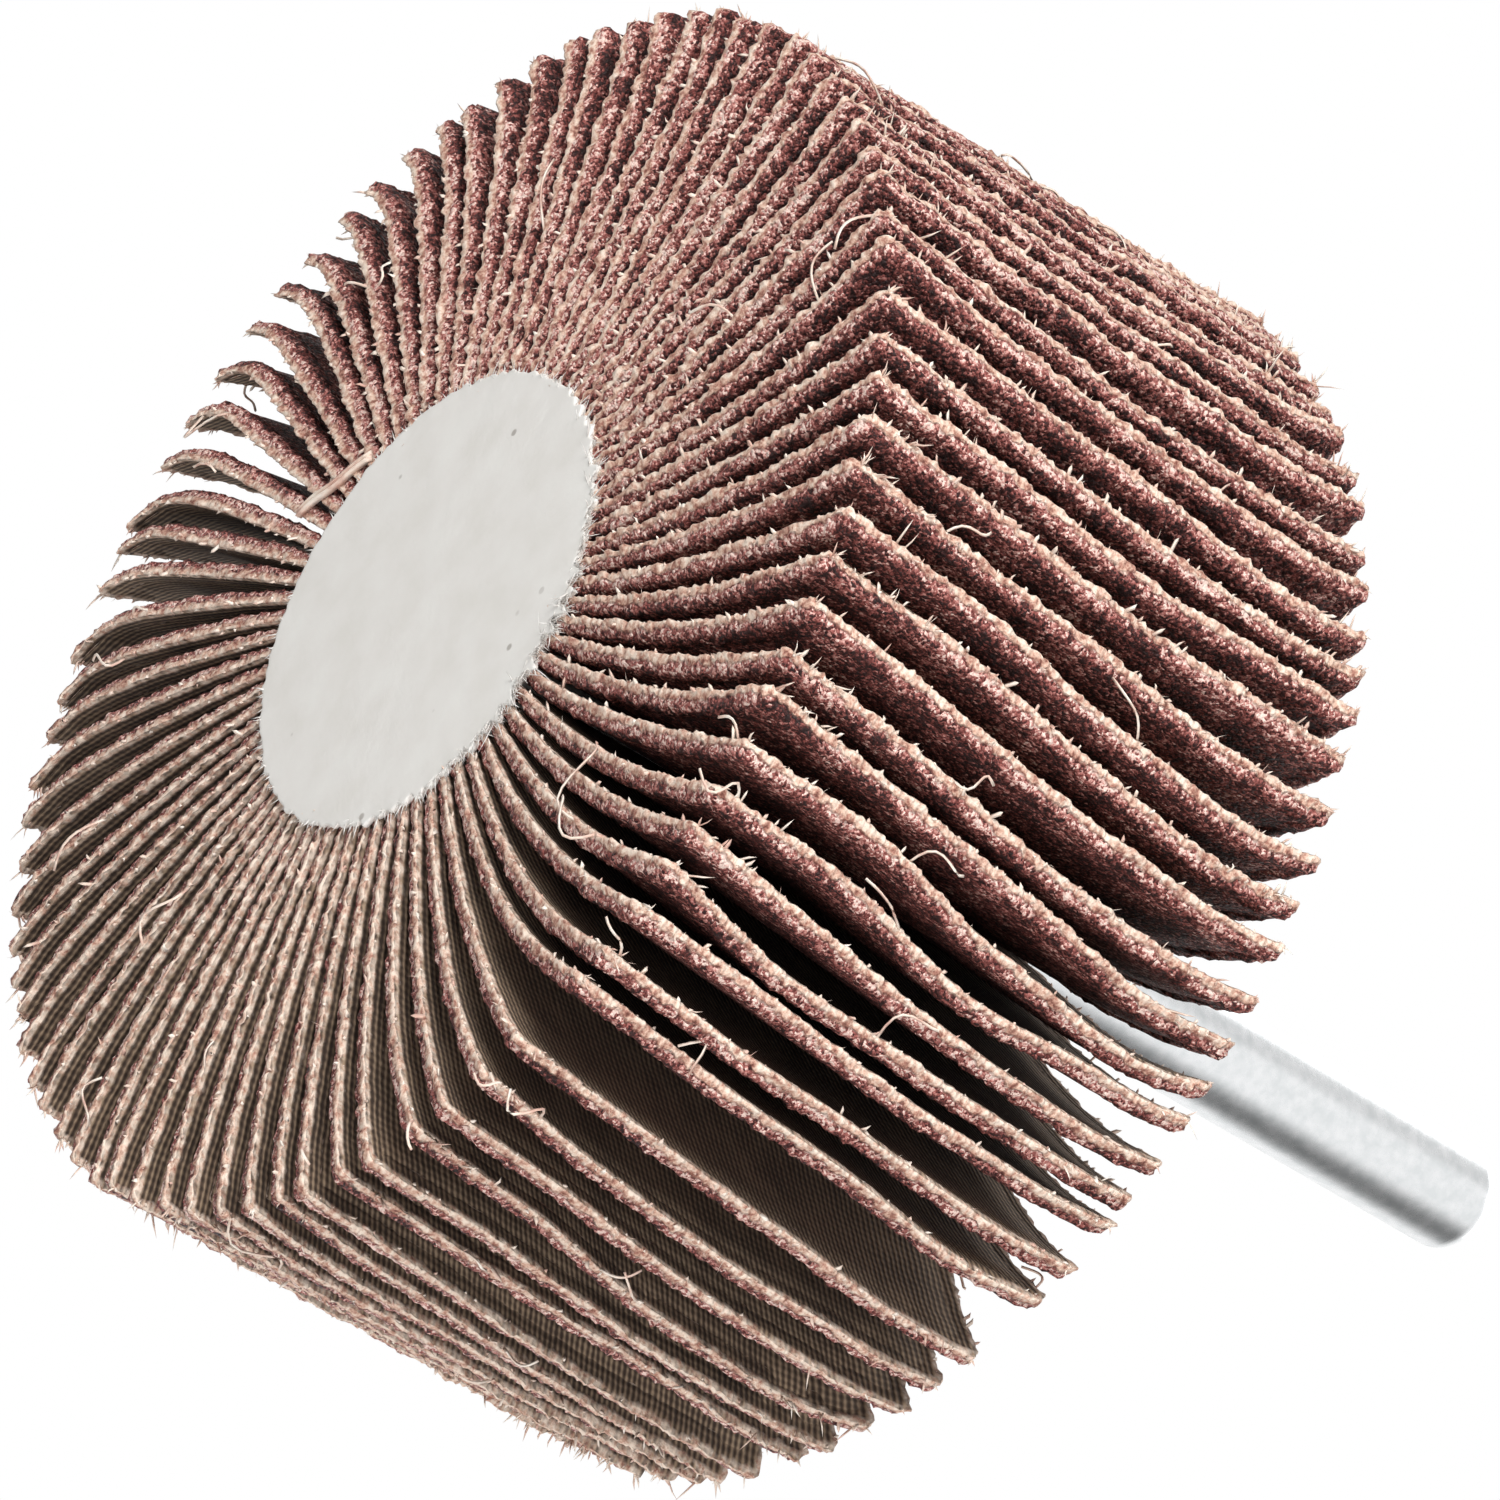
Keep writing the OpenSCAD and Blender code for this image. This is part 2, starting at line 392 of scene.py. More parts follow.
def add_sheet(shells, flap, look):
    """Body of a flap inside its rim: a closed slab a little thinner than the rim, with its two
    faces as grids over radius and height."""
    rows, cols = look.sheet_rows, look.sheet_cols
    inset = 0.5 * MM
    share = 0.45
    root = CORE_R - 1.2 * MM
    radius = np.linspace(root, WHEEL_R - inset, cols)
    height = np.linspace(FLAP_LOW + inset, FLAP_HIGH - inset, rows)
    loop_r = np.concatenate([radius, radius[::-1]])
    across = np.repeat([-share, share], cols)
    grid_r, grid_z = np.meshgrid(loop_r, height)
    points, _, _ = flap.place(grid_r, grid_z, np.broadcast_to(across, grid_r.shape), look)
    flat = points.reshape(-1, 3)
    k = np.arange(cols - 1)
    cap = np.stack([k, k + 1, 2 * cols - 2 - k, 2 * cols - 1 - k], -1)
    faces = [grid_faces(rows, 2 * cols, closed=True), cap[:, ::-1], cap + (rows - 1) * 2 * cols]
    coat = np.tile(np.where(across < 0, 0.0, 1.0), rows)
    place = np.stack([grid_r, grid_z], -1).reshape(-1, 2)
    # The sheet's edge mask is 0: its grit face takes the dark grit, painted shade between the flaps
    shells.add(flat, outward(flat, faces), coat, 0.0, place)


def rim_spots(flap, stations, across, look):
    """Spots on a flap's rim at knot numbers, with the directions outwards, across and along."""
    radius, height, facing = rim_path(0.06 * MM, stations, WHEEL_R, look)
    reach = np.clip((radius - CORE_R) / (WHEEL_R - CORE_R), 0, 1)
    radius = radius + reach ** 4 * (tip_radius(flap, height, look) - WHEEL_R)
    point, along, normal = flap.place(radius, height, across, look)
    outwards = np.cos(facing)[:, None] * along + np.sin(facing)[:, None] * UP
    rimwards = -np.sin(facing)[:, None] * along + np.cos(facing)[:, None] * UP
    return point, outwards, normal, rimwards


def spread_stations(count, rng):
    """Even but jittered knot numbers on the front, outer and rear stretch of a rim."""
    share = np.array([0.3, 0.45, 0.25])
    parts = [2 * k + (np.arange(int(count * part)) + rng.uniform(0, 1, int(count * part)))
             / int(count * part) for k, part in enumerate(share)]
    return np.concatenate(parts)


def add_fray(shells, flap, rng, look):
    """Frayed cloth on the cut edge: thick short ends of yarn that stand up on the backing's side,
    fine hairs, a tuft on each outer corner and now and then a long loose thread."""
    corners = np.concatenate([2 + rng.normal(0, 0.05, 12), 3 + rng.normal(0, 0.04, 6)])
    corners = np.where(rng.random(18) < 0.5, corners, corners - np.sign(corners - 2.5) * 0.9)
    kinds = [
        (spread_stations(look.teeth, rng), 0.34 * MM, 0.6, 0.1 * MM, 0.1 * MM, 0.7, 1.0),
        (spread_stations(look.hairs, rng), 0.4 * MM, 0.5, 0.03 * MM, 0.15 * MM, 0.2, 0.6),
        (np.clip(corners, 0.2, 4.9), 0.6 * MM, 0.45, 0.075 * MM, 0.12 * MM, 0.2, 0.75),
    ]
    for stations, length, scatter, radius, bend, tilt, fullness in kinds:
        n = len(stations)
        across = rng.uniform(-0.48, -0.2, n)
        spot, out, side, rim = rim_spots(flap, stations, across, look)
        lean = rng.normal(0, scatter, (n, 2)) - np.array([tilt, 0])
        direction = unit(out + lean[:, :1] * side + lean[:, 1:] * rim)
        lengths = length * rng.lognormal(0, 0.38, n)
        radii = radius * rng.uniform(0.6, 1.25, n)
        bends = bend * rng.normal(0, 1, (n, 3))
        points, faces = strands(spot - 0.1 * MM * direction, direction, lengths, radii, bends, fullness)
        shells.add(points, faces, material=1)
    n = rng.binomial(4, look.threads / 4)
    if n:
        add_threads(shells, flap, n, rng, look)


def add_threads(shells, flap, count, rng, look):
    """Long loose threads: each starts on the rim, runs off along a straight line and is bent by
    one low arch and one sideways wave."""
    stations = rng.choice([0.35, 2.0, 2.0, 4.0], count) + rng.uniform(0, 0.65, count)
    spot, out, side, rim = rim_spots(flap, stations, np.full(count, -0.4), look)
    steps = np.linspace(0, 1, 9)[None, :, None]
    lengths = rng.uniform(1.4, 4.0, (count, 1, 1)) * MM
    sideways = rng.uniform(-1.2, 0.2, (count, 1))
    lie = unit(rim * rng.choice([-1, 1], (count, 1)) + 0.25 * out + sideways * side)
    paths = spot[:, None] + lengths * steps * lie[:, None]
    paths = paths + lengths * 0.2 * np.sin(steps * math.pi) * out[:, None]
    wave = rng.normal(0, 0.16, (count, 1, 1)) * np.sin(steps * rng.uniform(3, 7, (count, 1, 1)))
    paths = paths + lengths * wave * np.cross(lie, out)[:, None]
    points, faces = threads(paths, look.thread_radius)
    shells.add(points, faces, material=1)


# The core

def add_core(shells, look):
    """Cast core as one surface of revolution with an uneven rim: radius = profile + weight times
    swell(angle). The profile runs from the middle of the front disc over its rim, back to the
    resin between the flaps and over the rear disc. The swell is a fine ragged noise, and runs of
    resin between two flaps, each with its own reach and most on one side."""
    proud = FLAP_LOW
    seat = CORE_R - 0.4 * MM
    profile = [(CORE_R * t, 0.0, 0.0) for t in (0.12, 0.3, 0.5, 0.66, 0.78, 0.86, 0.92)]
    profile += [(CORE_R - d * MM, 0.0, 1 - d / 0.8) for d in (0.7, 0.45, 0.25, 0.1)]
    profile += [(CORE_R - 0.02 * MM, 0.02 * MM, 1.0), (CORE_R + 0.03 * MM, 0.4 * proud, 1.0)]
    profile += [(CORE_R, 0.85 * proud, 0.9)]
    profile += [(seat, proud + 0.3 * MM, 0.2), (seat, CORE_TOP / 2, 0.0)]
    rear = [(r, CORE_TOP - z, w) for r, z, w in reversed(profile[:-1])]
    profile = np.array(profile + rear)
    turn = np.linspace(0, 2 * math.pi, look.rim_points, endpoint=False)
    ring = np.stack([np.cos(turn), np.sin(turn), 0 * turn], -1)
    swell = look.rim_ragged * (0.5 * soft_noise(ring * CORE_R, 0.9 * MM, 22)
                               + 0.6 * soft_noise(ring * CORE_R, 0.35 * MM, 23))
    slot = (turn - FLAPS[0].root) / (2 * math.pi) * len(FLAPS)
    own = lattice_value(np.stack([np.floor(slot).astype(np.int64)] * 3, -1), 26)
    to_side = np.arctan2(np.sin(turn - BLEED_SIDE), np.cos(turn - BLEED_SIDE))
    bleed = 0.2 + 0.8 * np.exp(-(to_side / 0.9) ** 2)
    swell = swell + look.rim_run * own * bleed * np.sin(math.pi * (slot % 1)) ** 2
    radius = profile[:, 0][:, None] + profile[:, 2][:, None] * swell[None]
    points = ring[None] * radius[..., None]
    points[..., 2] = profile[:, 1][:, None]
    uneven = 0.012 * MM * soft_noise(points, 3 * MM, 24) + 0.012 * MM * soft_noise(points, 0.8 * MM, 25)
    points[..., 2] += uneven + 0.024 * MM
    count, around = points.shape[:2]
    flat = np.concatenate([points.reshape(-1, 3), [[0, 0, 0.024 * MM], [0, 0, CORE_TOP]]])
    j = np.arange(around)
    beside = (j + 1) % around
    last = (count - 1) * around
    caps = [np.stack([0 * j + count * around, beside, j], -1),
            np.stack([0 * j + count * around + 1, last + j, last + beside], -1)]
    faces = [grid_faces(count, around, closed=True), *caps]
    shells.add(flat, outward(flat, faces))
    return turn, CORE_R + swell, bleed


def add_stray_strip(shells):
    """One stray strip of yarn that lies across the flaps' roots beside the front disc, a tube
    between two points given as radius, direction and height, with a slight sag."""
    ends = [(16.1 * MM, math.radians(91.6)), (13.3 * MM, math.radians(111.4))]
    low, high = (np.array([r * math.cos(a), r * math.sin(a), 0.1 * MM]) for r, a in ends)
    steps = np.linspace(0, 1, 14)[:, None]
    path = low + (high - low) * steps
    path[:, 2] -= 0.12 * MM * np.sin(math.pi * steps[:, 0])
    side = unit(np.cross(high - low, UP))
    path = path + 0.1 * MM * np.sin(9 * steps) * side
    for shift in (-0.13, 0.13):
        points, faces = threads((path + shift * MM * side)[None], 0.24 * MM)
        shells.add(points, faces, material=1)


def add_core_fluff(shells, turn, rim, bleed, rng, look):
    """Short pale fibres that stick out of the rim of each disc, most where the resin has run."""
    for height, tilt in ((0.12 * MM, -0.12), (CORE_TOP - 0.12 * MM, 0.12)):
        pick = rng.choice(len(turn), look.fluff, p=bleed / bleed.sum())
        angle = turn[pick]
        out = np.stack([np.cos(angle), np.sin(angle), 0 * angle], -1)
        roots = out * (rim[pick] - 0.3 * MM)[:, None] + height * UP
        aim = out + tilt * UP + rng.normal(0, 0.4, out.shape) * np.array([1, 1, 0.3])
        lengths = (0.45 + 0.45 * bleed[pick]) * MM * rng.lognormal(0, 0.35, len(pick))
        bends = 0.1 * MM * rng.normal(0, 1, out.shape)
        radii = 0.05 * MM * rng.uniform(0.5, 1.2, len(pick))
        points, faces = strands(roots, unit(aim), lengths, radii, bends)
        shells.add(points, faces, material=1)


# Materials

def place(tree, kind, inputs=None, **settings):
    """A new node with its settings, and with each named input set or linked."""
    made = tree.nodes.new(kind)
    for name, value in settings.items():
        setattr(made, name, value)
    for key, value in (inputs or {}).items():
        if isinstance(value, bpy.types.NodeSocket):
            tree.links.new(value, made.inputs[key])
        else:
            made.inputs[key].default_value = value
    return made


def ramp(tree, factor, stops):
    """Colour ramp through (position, colour) stops."""
    made = place(tree, "ShaderNodeValToRGB", {"Fac": factor})
    elements = made.color_ramp.elements
    while len(elements) < len(stops):
        elements.new(0.5)
    for element, (position, colour) in zip(elements, stops):
        element.position = position
        element.color = colour
    return made.outputs["Color"]


def blend(tree, factor, first, second, kind="MIX"):
    made = place(tree, "ShaderNodeMix", data_type="RGBA", blend_type=kind)
    for socket, value in zip((made.inputs[0], made.inputs[6], made.inputs[7]), (factor, first, second)):
        if isinstance(value, bpy.types.NodeSocket):
            tree.links.new(value, socket)
        else:
            socket.default_value = value
    return made.outputs[2]


def calculate(tree, operation, first, second=0.0, third=0.0):
    return place(tree, "ShaderNodeMath", {0: first, 1: second, 2: third}, operation=operation).outputs[0]


def spread(tree, value, low, high, new_low=0.0, new_high=1.0):
    """Clamped straight map of a value from one range to another."""
    ends = {"Value": value, "From Min": low, "From Max": high, "To Min": new_low, "To Max": new_high}
    return place(tree, "ShaderNodeMapRange", ends).outputs["Result"]


def new_material(name):
    material = bpy.data.materials.new(name)
    material.use_nodes = True
    tree = material.node_tree
    shader = tree.nodes["Principled BSDF"]
    where = place(tree, "ShaderNodeTexCoord").outputs["Object"]
    return material, tree, shader, where


def abrasive_cloth(look):
    """Grit in crushed grains on one face, ribbed backing cloth on the other and pale cut yarn
    between them, mixed by the coat attribute. The grains are paler where the edge is worn, and are
    painted dark further in as painted shade between the flaps."""
    material, tree, shader, where = new_material("abrasive_cloth")
    coat = place(tree, "ShaderNodeAttribute", attribute_name="coat").outputs["Fac"]
    wear = place(tree, "ShaderNodeAttribute", attribute_name="wear").outputs["Fac"]
    grain = place(tree, "ShaderNodeTexVoronoi", {"Vector": where, "Scale": 1 / look.grain_size})
    fine = place(tree, "ShaderNodeTexVoronoi", {"Vector": where, "Scale": 1.9 / look.grain_size})
    drift = place(tree, "ShaderNodeTexNoise", {"Vector": where, "Scale": 420.0, "Detail": 4.0})
    pick = place(tree, "ShaderNodeSeparateColor", {"Color": grain.outputs["Color"]})
    fleck = place(tree, "ShaderNodeSeparateColor", {"Color": fine.outputs["Color"]})
    coarse = calculate(tree, "MULTIPLY", pick.outputs[0], 0.5)
    both = calculate(tree, "MULTIPLY_ADD", fleck.outputs[0], 0.5, coarse)
    shade = calculate(tree, "ADD", both, spread(tree, drift.outputs["Fac"], 0.3, 0.7, -0.18, 0.18))
    # Grit tone raised at the cut edge and lowered inside: pale wear at the edge, painted shade between the
    # flaps
    worn_and_shaded = calculate(tree, "MULTIPLY_ADD", wear, 0.3, calculate(tree, "ADD", shade, -0.21))
    grit = ramp(tree, worn_and_shaded, [
        (0.0, srgb(36, 16, 15)), (0.22, srgb(62, 28, 26)), (0.38, srgb(112, 56, 51)),
        (0.54, srgb(160, 94, 87)), (0.68, srgb(206, 150, 140)), (0.82, srgb(240, 212, 200)),
    ])
    weave = place(tree, "ShaderNodeUVMap", uv_map="Cloth").outputs["UV"]
    ribs = place(tree, "ShaderNodeTexWave", {
        "Vector": weave, "Scale": look.ribs_per_mm * math.pi / 10, "Distortion": 2.2,
        "Detail": 3.0, "Detail Scale": 0.8,
    }, bands_direction="Y")
    cross = place(tree, "ShaderNodeTexWave", {
        "Vector": weave, "Scale": look.ribs_per_mm * math.pi / 13, "Distortion": 3.0,
        "Detail": 2.0,
    }, bands_direction="X")
    cloth_height = calculate(tree, "MULTIPLY_ADD", cross.outputs["Fac"], 0.35, ribs.outputs["Fac"])
    stain = spread(tree, drift.outputs["Fac"], 0.3, 0.7, -0.15, 0.15)
    backing = ramp(tree, calculate(tree, "MULTIPLY_ADD", cloth_height, 0.7, stain), [
        (0.1, srgb(62, 50, 42)), (0.45, srgb(100, 83, 69)), (0.9, srgb(158, 136, 113)),
    ])
    yarn = place(tree, "ShaderNodeTexNoise", {
        "Vector": where, "Scale": 2300.0, "Detail": 4.0, "Roughness": 0.65,
    })
    cleaner = calculate(tree, "MULTIPLY_ADD", coat, -0.28, yarn.outputs["Fac"])
    cut = ramp(tree, cleaner, [
        (0.2, srgb(112, 68, 58)), (0.3, srgb(172, 124, 108)), (0.4, srgb(214, 178, 158)),
        (0.53, srgb(240, 221, 204)),
    ])
    ragged = place(tree, "ShaderNodeTexNoise", {"Vector": where, "Scale": 1500.0, "Detail": 3.0})
    wander = spread(tree, ragged.outputs["Fac"], 0.3, 0.7, -1.0, 1.0)
    edge_share = spread(tree, calculate(tree, "MULTIPLY_ADD", wander, 0.03, coat), 0.04, 0.1)
    grit_share = spread(tree, calculate(tree, "MULTIPLY_ADD", wander, 0.2, coat), 0.45, 0.62)
    colour = blend(tree, grit_share, blend(tree, edge_share, backing, cut), grit)
    grit_height = calculate(tree, "MULTIPLY_ADD", grain.outputs["Distance"], -1.0,
                            calculate(tree, "MULTIPLY", fine.outputs["Distance"], -0.5))
    height = place(tree, "ShaderNodeMix", {0: grit_share}, data_type="FLOAT")
    soft_height = calculate(tree, "MULTIPLY_ADD", yarn.outputs["Fac"], edge_share,
                            calculate(tree, "MULTIPLY", cloth_height, 0.4))
    tree.links.new(soft_height, height.inputs[2])
    tree.links.new(grit_height, height.inputs[3])
    bump = place(tree, "ShaderNodeBump", {
        "Strength": 0.9, "Distance": look.bump_height, "Height": height.outputs[0],
    })
    rough = calculate(tree, "MULTIPLY_ADD", fleck.outputs[1], -0.5, 0.95)
    rough = place(tree, "ShaderNodeMix", {0: grit_share, 2: 0.95, 3: rough}).outputs[0]
    tree.links.new(colour, shader.inputs["Base Color"])
    tree.links.new(rough, shader.inputs["Roughness"])
    tree.links.new(bump.outputs["Normal"], shader.inputs["Normal"])
    shader.inputs["Specular IOR Level"].default_value = 0.35
    return material


def cut_thread():
    """Pale cotton of the frayed threads, with some strands stained by the grit's binder."""
    material, tree, shader, where = new_material("cut_thread")
    stain = place(tree, "ShaderNodeTexNoise", {"Vector": where, "Scale": 900.0, "Detail": 2.0})
    colour = ramp(tree, stain.outputs["Fac"], [
        (0.36, srgb(214, 176, 160)), (0.5, srgb(238, 218, 202)), (0.66, srgb(248, 238, 226)),
    ])
    tree.links.new(colour, shader.inputs["Base Color"])
    shader.inputs["Roughness"].default_value = 0.9
    return material


def cast_resin():
    """Off-white filled resin with faint clouds, a fine pitted skin and a few grey specks."""
    material, tree, shader, where = new_material("cast_resin")
    cloud = place(tree, "ShaderNodeTexNoise", {"Vector": where, "Scale": 320.0, "Detail": 5.0})
    base = ramp(tree, cloud.outputs["Fac"], [
        (0.35, srgb(227, 224, 218)), (0.5, srgb(231, 228, 223)), (0.68, srgb(234, 232, 227)),
    ])
    cells = place(tree, "ShaderNodeTexVoronoi", {"Vector": where, "Scale": 650.0})
    chance = place(tree, "ShaderNodeSeparateColor", {"Color": cells.outputs["Color"]}).outputs[0]
    small = spread(tree, cells.outputs["Distance"], 0.16, 0.1)
    speck = calculate(tree, "MULTIPLY", small, spread(tree, chance, 0.93, 0.96))
    colour = blend(tree, calculate(tree, "MULTIPLY", speck, 0.7), base, srgb(150, 142, 134))
    skin = place(tree, "ShaderNodeTexNoise", {"Vector": where, "Scale": 3000.0, "Detail": 4.0})
    bump = place(tree, "ShaderNodeBump", {
        "Strength": 0.35, "Distance": 0.05 * MM, "Height": skin.outputs["Fac"],
    })
    tree.links.new(colour, shader.inputs["Base Color"])
    tree.links.new(bump.outputs["Normal"], shader.inputs["Normal"])
    shader.inputs["Roughness"].default_value = 0.8
    return material


def resin_fluff():
    """Pale fibres at the rim of the disc."""
    material, tree, shader, where = new_material("resin_fluff")
    tone = place(tree, "ShaderNodeTexNoise", {"Vector": where, "Scale": 700.0, "Detail": 2.0})
    colour = ramp(tree, tone.outputs["Fac"], [
        (0.35, srgb(222, 216, 210)), (0.6, srgb(236, 234, 230)),
    ])
    tree.links.new(colour, shader.inputs["Base Color"])
    shader.inputs["Roughness"].default_value = 0.9
    return material


def plated_steel(look):
    """Satin plated steel: fine turning marks round the shank under a fine speckle."""
    material, tree, shader, where = new_material("plated_steel")
    rings = place(tree, "ShaderNodeMapping", {"Vector": where, "Scale": (300.0, 300.0, 12000.0)})
    marks = place(tree, "ShaderNodeTexNoise", {"Vector": rings.outputs[0], "Scale": 1.0, "Detail": 3.0})
    cloud = place(tree, "ShaderNodeTexNoise", {"Vector": where, "Scale": 1400.0, "Detail": 6.0})
    grain = place(tree, "ShaderNodeTexNoise", {"Vector": where, "Scale": 6000.0, "Detail": 2.0})
    colour = ramp(tree, cloud.outputs["Fac"], [
        (0.35, srgb(226, 229, 230)), (0.65, srgb(240, 241, 242)),
    ])
    low, high = look.shank_roughness - 0.015, look.shank_roughness + 0.015
    rough = spread(tree, cloud.outputs["Fac"], 0.3, 0.7, low, high)
    both = calculate(tree, "MULTIPLY_ADD", grain.outputs["Fac"], 1.2, marks.outputs["Fac"])
    bump = place(tree, "ShaderNodeBump", {"Strength": 0.3, "Distance": 0.004 * MM, "Height": both})
    tree.links.new(colour, shader.inputs["Base Color"])
    tree.links.new(rough, shader.inputs["Roughness"])
    tree.links.new(bump.outputs["Normal"], shader.inputs["Normal"])
    shader.inputs["Metallic"].default_value = 1.0
    return material


# Stage

# Directions of the reference picture in the part's own axes: where the camera stands in metres,
# which way it looks as elevation and azimuth, and its roll
CAMERA_PLACE = (0.0, -0.3515, -0.1914)
CAMERA_ELEVATION = math.radians(31.12)
CAMERA_AZIMUTH = math.radians(-0.27)
CAMERA_ROLL = math.radians(120.41)
CAMERA_LENS = 194.25


# Dark sides of the room that gloss sees: direction, the cosines at which the dark starts and is
# full, and how dark it is
DARK_SIDES = [
    ((0.84, -0.2, 0.5), 0.78, 0.99, 0.85),
    ((-0.85, 0.1, 0.5), 0.75, 0.85, 0.28),
    ((0.25, -0.9, -0.35), 0.86, 0.97, 0.62),
    ((-0.8, 0.55, -0.35), 0.86, 0.97, 0.62),
    ((0.9, 0.4, -0.35), 0.86, 0.97, 0.62),
]


def add_camera():
    """Camera at the picture's viewpoint: level and looking along +Y, raised by the elevation,
    turned by the azimuth and rolled about its own line of sight."""
    data = bpy.data.cameras.new("camera")
    data.lens = CAMERA_LENS
    data.clip_start, data.clip_end = 0.01, 10.0
    camera = bpy.data.objects.new("camera", data)
    turn = Matrix.Rotation(-CAMERA_AZIMUTH, 4, "Z") @ Matrix.Rotation(math.pi / 2 + CAMERA_ELEVATION, 4, "X")
    camera.matrix_world = Matrix.Translation(CAMERA_PLACE) @ turn @ Matrix.Rotation(CAMERA_ROLL, 4, "Z")
    bpy.context.scene.collection.objects.link(camera)
    bpy.context.scene.camera = camera


def add_lamp(name, direction, distance, power, size):
    """Soft square lamp that faces the wheel from a direction."""
    data = bpy.data.lights.new(name, "AREA")
    data.energy, data.size = power, size
    lamp = bpy.data.objects.new(name, data)
    aim = Vector((0, 0, CORE_TOP / 2))
    away = Vector(direction).normalized()
    lamp.location = aim + away * distance
    lamp.rotation_mode = "QUATERNION"
    lamp.rotation_quaternion = away.to_track_quat("Z", "Y")
    bpy.context.scene.collection.objects.link(lamp)


def add_world(look):
    """Even pale light all round, with pure white where the camera or glass looks past the wheel.
    Gloss sees a white room with one soft dark corner, as the dark side of a studio does."""
    world = bpy.data.worlds.new("studio")
    bpy.context.scene.world = world
    world.use_nodes = True
    tree = world.node_tree
    tree.nodes.clear()
    rays = place(tree, "ShaderNodeLightPath")
    seen = calculate(tree, "MAXIMUM", rays.outputs["Is Camera Ray"], rays.outputs["Is Transmission Ray"])
    toward = place(tree, "ShaderNodeTexCoord").outputs["Generated"]
    level = None
    for aim, low, high, share in DARK_SIDES:
        close = place(tree, "ShaderNodeVectorMath", {0: toward, 1: Vector(aim).normalized()},
                      operation="DOT_PRODUCT").outputs["Value"]
        dark = spread(tree, close, low, high, 1.0, 1.0 - share)
        level = dark if level is None else calculate(tree, "MULTIPLY", level, dark)
    soft = place(tree, "ShaderNodeBackground", {"Color": (1, 1, 1, 1), "Strength": look.fill})
    glossy = place(tree, "ShaderNodeBackground", {"Color": (1, 1, 1, 1), "Strength": level})
    white = place(tree, "ShaderNodeBackground", {"Color": (1, 1, 1, 1), "Strength": 1.0})
    first = place(tree, "ShaderNodeMixShader", {
        0: rays.outputs["Is Glossy Ray"], 1: soft.outputs[0], 2: glossy.outputs[0],
    })
    second = place(tree, "ShaderNodeMixShader", {0: seen, 1: first.outputs[0], 2: white.outputs[0]})
    place(tree, "ShaderNodeOutputWorld", {"Surface": second.outputs[0]})


def add_floor(look):
    """Pale floor just under the wheel, which fades into the white room with the distance from
    the wheel. It is clear from below, where the picture is taken from."""
    half = 0.6
    mesh = bpy.data.meshes.new("floor")
    level = -0.15 * MM
    corners = [(-half, -half, level), (half, -half, level), (half, half, level), (-half, half, level)]
    mesh.from_pydata(corners, [], [(0, 1, 2, 3)])
    material, tree, shader, where = new_material("floor")
    shader.inputs["Base Color"].default_value = srgb(244, 244, 243)
    shader.inputs["Roughness"].default_value = 0.9
    clear = place(tree, "ShaderNodeBsdfTransparent")
    side = place(tree, "ShaderNodeNewGeometry").outputs["Backfacing"]
    away = place(tree, "ShaderNodeVectorMath", {0: where}, operation="LENGTH").outputs["Value"]
    faded = calculate(tree, "MAXIMUM", side, spread(tree, away, 0.12, 0.5))
    mixed = place(tree, "ShaderNodeMixShader", {0: faded, 1: shader.outputs[0], 2: clear.outputs[0]})
    tree.links.new(mixed.outputs[0], tree.nodes["Material Output"].inputs["Surface"])
    mesh.materials.append(material)
    floor = bpy.data.objects.new("floor", mesh)
    bpy.context.scene.collection.objects.link(floor)
    floor.visible_shadow = floor.visible_diffuse = floor.visible_glossy = floor.visible_transmission = False


# Settings that a user would change

def length(name, description, default):
    return bpy.props.FloatProperty(
        name=name, description=description, default=default, min=0.0, unit="LENGTH", precision=5)


class FlapLook(bpy.types.PropertyGroup):
    """Sizes of the flaps' grit, cloth and frayed edges."""
    grain_size: length("Grain size", "Width of a crushed grain", 0.00023)
    grain_height: length("Grain height", "Height by which grains lift the rim", 0.00015)
    bump_height: length("Bump height", "Depth of the fine relief in the shader", 0.00016)
    station_step: length("Step along the rim", "Distance between sections of the rim", 0.00024)
    corner_radius: length("Corner radius", "Round at a flap's outer corners", 0.00035)
    fringe: length("Fringe", "Height of the ragged fringe of cut yarn", 0.00026)
    twist: length("Twist", "Shift of the rear tips against the front tips", 0.0035)
    hook: length("Hook", "Extra sideways hook of the tips on one side", 0.0018)
    shared_wave: length("Shared wave", "Sway that neighbouring flaps have in common", 0.0005)
    own_wave: length("Own wave", "Sway of each flap by itself", 0.0003)
    rear_curl: length("Rear curl", "Curl of the rear outer corner", 0.0008)
    curl_length: length("Curl length", "Stretch of the rear corner that curls", 0.006)
    tip_taper: length("Tip taper", "Extra reach of the outer edge at the rear", 0.0006)
    tip_uneven: length("Uneven edge", "Unevenness of the outer edge", 0.00012)
    tip_stray: length("Stray of length", "Difference in length between flaps", 0.0002)
    sheet_rows: bpy.props.IntProperty(
        name="Rows", description="Rows of the sheet inside the rim", default=13, min=3)
    sheet_cols: bpy.props.IntProperty(
        name="Columns", description="Columns of the sheet inside the rim", default=13, min=3)
    teeth: bpy.props.IntProperty(
        name="Teeth", description="Thick short ends of yarn along a flap's rim", default=70, min=0)
    hairs: bpy.props.IntProperty(
        name="Hairs", description="Fine hairs along a flap's rim", default=16, min=0)
    threads: bpy.props.FloatProperty(
        name="Threads", description="Long loose threads on a flap, on average", default=0.9,
        min=0.0, max=4.0)
    thread_radius: length("Thread radius", "Radius of a long loose thread", 0.00008)
    ribs_per_mm: bpy.props.FloatProperty(
        name="Ribs", description="Ribs of the backing cloth in each millimetre", default=2.7, min=0.5)
    seed: bpy.props.IntProperty(name="Seed", description="Seed of all the random draws", default=5)


